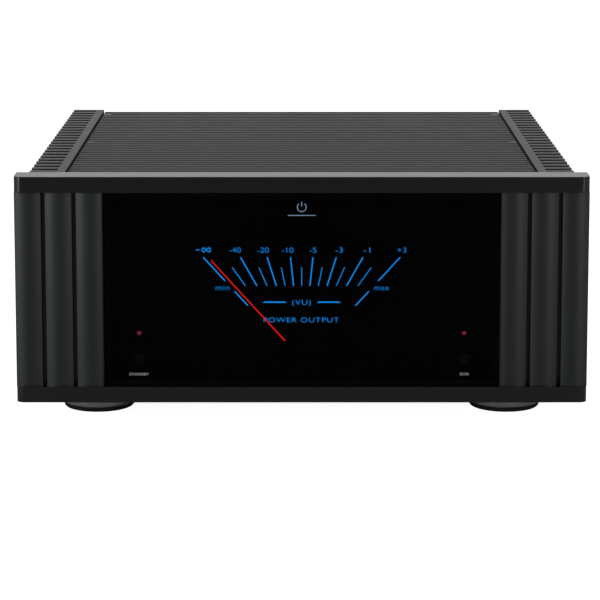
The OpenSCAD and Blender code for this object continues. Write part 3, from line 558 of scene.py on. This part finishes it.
def dial_infinity():
    """The infinity sign as a ribbon along a figure of eight, with its minus sign."""
    bm = bmesh.new()
    centre = Vector((apex.x + INFINITY_X, 0, apex.z + NUMBER_RISE))
    half_w, half_h, half_stroke = 3.1 * MM, 1.55 * MM, 0.36 * MM
    minus_far, minus_near = 7.9 * MM, 5.3 * MM
    steps = 64
    inner, outer = [], []
    for i in range(steps):
        t = 2 * math.pi * i / steps
        x, z = half_w * math.cos(t), half_h * math.sin(2 * t)
        dx, dz = -half_w * math.sin(t), 2 * half_h * math.cos(2 * t)
        length = math.hypot(dx, dz)
        nx, nz = -dz / length * half_stroke, dx / length * half_stroke
        inner.append((centre.x + x + nx, centre.z + z + nz))
        outer.append((centre.x + x - nx, centre.z + z - nz))
    for i in range(steps):
        j = (i + 1) % steps
        add_prism(bm, [inner[i], outer[i], outer[j], inner[j]], dial_print_y, dial_front_y)
    add_prism(bm, rectangle(centre.x - minus_far, centre.z - half_stroke,
                            centre.x - minus_near, centre.z + half_stroke), dial_print_y, dial_front_y)
    solid_piece("dial_infinity", bm, INK_BLUE)


# Text, place across and width in mm
NUMBERS = (("-40", -50.2, 8.6), ("-20", -29.1, 8.6), ("-10", -10.6, 8.6), ("-5", 8.4, 5.4),
           ("-3", 28.2, 5.4), ("-1", 49.1, 5.0), ("+3", 75.3, 6.8))

# Text, place across and width in mm, rise and height
WORDS = (("min", -59.8, 10.2, LIMIT_RISE, 4.3 * MM), ("max", 60.3, 11.0, LIMIT_RISE, 4.3 * MM),
         ("(VU)", -0.2, 14.0, UNIT_RISE, 4.0 * MM), ("POWER OUTPUT", -0.4, 56.7, TITLE_RISE, 3.9 * MM))


def dial_texts():
    """The scale's numbers, then its two limits, its unit and its title."""
    entries = [{"text": text, "x": x * MM, "z": apex.z + NUMBER_RISE, "height": NUMBER_HEIGHT,
                "width": width * MM, "bold": DIAL_THINNING} for text, x, width in NUMBERS]
    entries += [{"text": text, "x": x * MM, "z": apex.z + rise, "height": height,
                 "width": width * MM, "bold": DIAL_THINNING, "spacing": DIAL_SPACING}
                for text, x, width, rise, height in WORDS]
    front_texts("dial_texts", entries, dial_front_y - PRINT_DEPTH / 2, INK_BLUE)


dial_ticks()
dial_dashes()
dial_infinity()
dial_texts()


# ---- Marks on the glass ----

# Rises here are heights above the bottom bar's lower edge.
LABEL_RISE = 21.4 * MM
LABEL_HEIGHT = 2.0 * MM
LABEL_THINNING = -0.018
LABEL_SPACING = 1.2
EMBLEM_RISE = 148.8 * MM


def button_labels():
    """The name of each button, below it."""
    labels = (("STANDBY", "standby_button", 14.4 * MM), ("DIM", "dim_button", 6.0 * MM))
    entries = [{"text": text, "x": middle(button).x, "z": base_z + LABEL_RISE, "height": LABEL_HEIGHT,
                "width": width, "bold": LABEL_THINNING, "spacing": LABEL_SPACING}
               for text, button, width in labels]
    front_texts("button_labels", entries, glass_front_y - 0.04 * MM, INK_WHITE)


def emblem():
    """A plain generic mark: an open ring with a stem in its gap, over a short bar."""
    bm = bmesh.new()
    centre = Vector((pivot.x, 0, base_z + EMBLEM_RISE))
    front = glass_front_y - 0.08 * MM
    ring_r, stroke, half_gap = 3.6 * MM, 0.55 * MM, math.radians(40)
    stem_half_w, stem_foot, stem_top = 0.3 * MM, 0.5 * MM, 4.2 * MM
    bar_drop, bar_half_w, bar_half_h = 6.2 * MM, 10.4 * MM, 0.25 * MM
    bar_z = centre.z - bar_drop
    add_ring(bm, centre, ring_r, ring_r - stroke, front, glass_front_y,
             start=half_gap, sweep=2 * math.pi - 2 * half_gap)
    add_prism(bm, rectangle(centre.x - stem_half_w, centre.z + stem_foot,
                            centre.x + stem_half_w, centre.z + stem_top), front, glass_front_y)
    add_prism(bm, rectangle(centre.x - bar_half_w, bar_z - bar_half_h,
                            centre.x + bar_half_w, bar_z + bar_half_h), front, glass_front_y)
    solid_piece("emblem", bm, INK_PALE)


def circle(x, z, r):
    """Outline of a circle in X and Z."""
    turns = [2 * math.pi * i / SEGMENTS for i in range(SEGMENTS)]
    return [(x + r * math.cos(t), z + r * math.sin(t)) for t in turns]


def inset_rectangle(node, inset):
    """Outline of a node's front, taken in by an inset on each side."""
    low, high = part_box(node)
    return rectangle(low.x + inset, low.z + inset, high.x - inset, high.z - inset)


def window_mask():
    """Black print on the back of the glass, with openings for the dial, the buttons and the lamps."""
    glass_margin, dial_inset, button_clearance, thickness = 0.6 * MM, 5 * MM, 0.4 * MM, 0.05 * MM
    outlines = [inset_rectangle("front_window", glass_margin), inset_rectangle("meter_dial", dial_inset)]
    lamps_low, lamps_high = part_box("status_lamps")
    lamp_r = (lamps_high.z - lamps_low.z) / 2
    lamp_z = (lamps_high.z + lamps_low.z) / 2
    outlines.append(circle(lamps_low.x + lamp_r, lamp_z, lamp_r))
    outlines.append(circle(lamps_high.x - lamp_r, lamp_z, lamp_r))
    for button in ("standby_button", "dim_button"):
        low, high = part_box(button)
        centre = middle(button)
        outlines.append(circle(centre.x, centre.z, (high.x - low.x) / 2 + button_clearance))

    # A flat filled curve leaves the inner outlines open
    curve = bpy.data.curves.new("mask", "CURVE")
    curve.dimensions = "2D"
    curve.fill_mode = "BOTH"
    curve.extrude = thickness / 2
    for outline in outlines:
        spline = curve.splines.new("POLY")
        spline.points.add(len(outline) - 1)
        for point, (x, z) in zip(spline.points, outline):
            point.co = (x, z, 0, 1)
        spline.use_cyclic_u = True
    mesh = curve_mesh(curve)
    glass_back_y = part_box("front_window")[1].y
    upright = Matrix.Rotation(math.pi / 2, 4, "X")
    mesh.transform(Matrix.Translation((0, glass_back_y + thickness, 0)) @ upright)
    piece("window_mask", mesh, FINISHES["dial_black"])


button_labels()
emblem()
window_mask()


# ---- Rear details ----

def phono_insulators():
    """Plastic of the phono sockets, white on the left and red on the right: the face at the sleeve's end
    and a washer against the panel."""
    sleeve_end = rear_y + 13 * MM
    face_r, face_bore_r, face_proud, face_sunk = 3.3 * MM, 1.75 * MM, 0.15 * MM, 0.05 * MM
    washer_r, washer_bore_r, washer_t = 8.6 * MM, 6.2 * MM, 0.9 * MM
    for side, material in (("left", INSULATOR_WHITE), ("right", INSULATOR_RED)):
        centre = mounts[f"phono_sleeve_{side}"]
        bm = bmesh.new()
        add_ring(bm, centre, face_r, face_bore_r, sleeve_end + face_proud, sleeve_end - face_sunk)
        add_ring(bm, centre, washer_r, washer_bore_r, rear_y + washer_t, rear_y)
        solid_piece(f"phono_insulator_{side}", bm, material)


def xlr_inserts():
    """Black rims inside and round each balanced socket, and the plated rings of its three contacts."""
    face_depth = 1 * MM
    inner_rim_r, inner_rim_bore_r, inner_rim_t = 7.58 * MM, 6.3 * MM, 0.2 * MM
    outer_rim_r, outer_rim_bore_r, outer_rim_t = 12.4 * MM, 9.75 * MM, 0.5 * MM
    contact_r, contact_bore_r, contact_t = 1.9 * MM, 1.3 * MM, 0.15 * MM
    contact_places_mm = ((-3.8, 1.6), (3.8, 1.6), (0, -3.6))
    for side in ("left", "right"):
        centre = mounts[f"xlr_input_{side}"]
        face = centre.y - face_depth
        bm = bmesh.new()
        add_ring(bm, centre, inner_rim_r, inner_rim_bore_r, face + inner_rim_t, face)
        add_ring(bm, centre, outer_rim_r, outer_rim_bore_r, centre.y + outer_rim_t, centre.y)
        solid_piece(f"xlr_insert_rim_{side}", bm, INSULATOR_BLACK)
        bm = bmesh.new()
        for x, z in contact_places_mm:
            contact = centre + Vector((x * MM, 0, z * MM))
            add_ring(bm, contact, contact_r, contact_bore_r, face + contact_t, face, steps=24)
        solid_piece(f"xlr_contacts_{side}", bm, FINISHES["gold_plate"])


def post_collars():
    """Insulating collars between the speaker terminals and the panel, black and red in turn."""
    outer_r, inner_r, length = 9.3 * MM, 9.02 * MM, 2.6 * MM
    for post in POSTS:
        bm = bmesh.new()
        add_ring(bm, mounts[f"speaker_bore_{post}"], outer_r, inner_r, rear_y + length, rear_y)
        solid_piece(f"post_collar_{post}", bm, INSULATOR_BLACK if post % 2 else INSULATOR_RED)


def fuse():
    """Glass fuse with two metal caps, lying in the drawer's trough."""
    socket = mounts["mains_inlet_socket"]
    fuse_rise, inner_depth, outer_depth = 5.7 * MM, 21.8 * MM, 1.7 * MM
    centre = Vector((middle("fuse_drawer").x, 0, socket.z + fuse_rise))
    inner_end, outer_end = socket.y - inner_depth, socket.y - outer_depth
    glass_r, cap_r, cap_length, cap_edge, steps = 2.35 * MM, 2.5 * MM, 5 * MM, 0.4 * MM, 32
    bm = bmesh.new()
    add_turned(bm, centre, [(0, inner_end + cap_length), (glass_r, inner_end + cap_length),
                            (glass_r, outer_end - cap_length), (0, outer_end - cap_length)], steps)
    solid_piece("fuse_body", bm, FUSE_GLASS, "fuse_drawer")
    bm = bmesh.new()
    for y0, y1 in ((inner_end, inner_end + cap_length), (outer_end - cap_length, outer_end)):
        add_turned(bm, centre, [(0, y0), (cap_r - cap_edge, y0), (cap_r, y0 + cap_edge),
                                (cap_r, y1 - cap_edge), (cap_r - cap_edge, y1), (0, y1)], steps)
    solid_piece("fuse_caps", bm, FINISHES["bright_steel"], "fuse_drawer")


def add_frame(bm, centre_x, centre_z, half_w, half_h, stroke, y_near, y_far):
    """Adds a thin rectangular frame made of four strokes."""
    half = stroke / 2
    for sign in (-1, 1):
        x, z = centre_x + sign * half_w, centre_z + sign * half_h
        add_prism(bm, rectangle(x - half, centre_z - half_h, x + half, centre_z + half_h), y_near, y_far)
        add_prism(bm, rectangle(centre_x - half_w, z - half, centre_x + half_w, z + half), y_near, y_far)


def rear_marks():
    """Generic channel and polarity signs, and thin frames round each group of terminals."""
    text_y, frame_y = rear_y + 0.04 * MM, rear_y + 0.07 * MM
    text_height, stroke = 5 * MM, 0.5 * MM
    channel_x, channel_bold = 83 * MM, 0.02
    sign_rise, sign_bold = 14 * MM, 0.03
    inputs_x, inputs_half_w, inputs_half_h = 84 * MM, 40 * MM, 21 * MM
    posts_x, posts_rise, posts_half_w, posts_half_h = 110 * MM, 4 * MM, 25 * MM, 20 * MM
    inputs_z = mounts["phono_sleeve_left"].z
    posts_z = mounts["speaker_bore_1"].z
    entries = [{"text": letter, "x": side * channel_x, "z": inputs_z,
                "height": text_height, "bold": channel_bold} for side, letter in ((-1, "R"), (1, "L"))]
    entries += [{"text": "-" if post % 2 else "+", "x": mounts[f"speaker_bore_{post}"].x,
                 "z": posts_z + sign_rise, "height": text_height, "bold": sign_bold} for post in POSTS]
    bm = bmesh.new()
    for entry in entries:
        add_text(bm, entry, text_y, turn=math.pi)
    for side in (-1, 1):
        add_frame(bm, side * posts_x, posts_z + posts_rise, posts_half_w, posts_half_h, stroke,
                  rear_y, frame_y)
    for side in (-1, 1):
        add_frame(bm, side * inputs_x, inputs_z, inputs_half_w, inputs_half_h, stroke, rear_y, frame_y)
    solid_piece("rear_marks", bm, INK_WHITE)


phono_insulators()
xlr_inserts()
post_collars()
fuse()
rear_marks()


# ---- Floor, light and camera ----

FLOOR_SIZE = 6.0
FLOOR_GLOW = 0.95
WORLD_SEEN = 1.0
WORLD_FELT = 0.12
LIGHT_TARGET = Vector((0, 0, 0.1))
CAMERA_LENS = 145.77  # mm, as is the sensor's width
CAMERA_SENSOR = 36
CAMERA_BACK = 1.7857
CAMERA_RISE = 0.2775
CAMERA_SIDE = -0.0013
CAMERA_PITCH = 8.14  # degrees below level
CAMERA_SHIFT = -0.254

# Azimuth and elevation in degrees, distance, width, height and radiance. Azimuth 0 is in front of the
# amplifier, and 90 is to its right in the camera's view.
SOFTBOXES = {
    "overhead": (0, 88, 1.7, 1.5, 1.2, 1.8),
    "left_box": (-65, 18, 1.9, 1.2, 1.3, 3.6),
    "right_box": (68, 18, 1.9, 1.0, 1.3, 2.6),
    "left_strip": (-44, 8, 1.9, 0.16, 1.2, 30.0),
    "right_strip": (32, 8, 1.9, 0.1, 1.2, 34.0),
    "back_wall": (180, 14, 2.6, 3.2, 1.1, 0.77),
}


def add_floor():
    """Pale paper: the camera sees it nearly white, and other rays find it a soft grey."""
    bm = bmesh.new()
    bmesh.ops.create_grid(bm, x_segments=1, y_segments=1, size=FLOOR_SIZE)
    mesh = bpy.data.meshes.new("floor")
    bm.to_mesh(mesh)
    bm.free()
    finish = Finish("floor_paper", (0.5, 0.5, 0.5, 1), 0.85, specular=0.1)
    finish.tone(finish.noise(scale=3, detail=2), amount=0.01)
    seen = finish.node("ShaderNodeLightPath").outputs["Is Camera Ray"]
    glow = finish.node("ShaderNodeMath", operation="MULTIPLY")
    glow.inputs[1].default_value = FLOOR_GLOW
    finish.link(seen, glow.inputs[0])
    finish.shader.inputs["Emission Color"].default_value = (1, 1, 1, 1)
    finish.link(glow.outputs["Value"], finish.shader.inputs["Emission Strength"])
    mesh.materials.append(finish.material)
    floor = bpy.data.objects.new("floor", mesh)
    bpy.context.scene.collection.objects.link(floor)


def add_world():
    """White for the camera, and a dim grey for every other ray."""
    world = bpy.data.worlds.new("studio")
    world.use_nodes = True
    tree = world.node_tree
    background = tree.nodes["Background"]
    background.inputs["Color"].default_value = (1, 1, 1, 1)
    seen = tree.nodes.new("ShaderNodeLightPath").outputs["Is Camera Ray"]
    span = tree.nodes.new("ShaderNodeMapRange")
    span.inputs["To Min"].default_value = WORLD_FELT
    span.inputs["To Max"].default_value = WORLD_SEEN
    tree.links.new(seen, span.inputs["Value"])
    tree.links.new(span.outputs["Result"], background.inputs["Strength"])
    bpy.context.scene.world = world


def add_softbox(name, azimuth, elevation, distance, width, height, radiance):
    """Area light that faces the amplifier and that the camera doesn't see."""
    turn, rise = math.radians(azimuth), math.radians(elevation)
    direction = Vector((math.sin(turn) * math.cos(rise), -math.cos(turn) * math.cos(rise), math.sin(rise)))
    place = direction * distance
    light = bpy.data.lights.new(name, "AREA")
    light.shape = "RECTANGLE"
    light.size = width
    light.size_y = height
    light.energy = radiance * math.pi * width * height
    obj = bpy.data.objects.new(name, light)
    obj.location = LIGHT_TARGET + place
    obj.rotation_euler = (-place).to_track_quat("-Z", "Y").to_euler()
    obj.visible_camera = False
    bpy.context.scene.collection.objects.link(obj)


def add_camera():
    """Camera in front of the amplifier and above it, tipped down at it."""
    data = bpy.data.cameras.new("camera")
    data.lens = CAMERA_LENS
    data.sensor_width = CAMERA_SENSOR
    data.shift_y = CAMERA_SHIFT
    camera = bpy.data.objects.new("camera", data)
    camera.location = (CAMERA_SIDE, front_y - CAMERA_BACK, top_z + CAMERA_RISE)
    camera.rotation_euler = (math.radians(90 - CAMERA_PITCH), 0, 0)
    bpy.context.scene.collection.objects.link(camera)
    bpy.context.scene.camera = camera


add_floor()
add_world()
for name, settings in SOFTBOXES.items():
    add_softbox(name, *settings)
add_camera()
bpy.context.scene.view_settings.view_transform = "Standard"
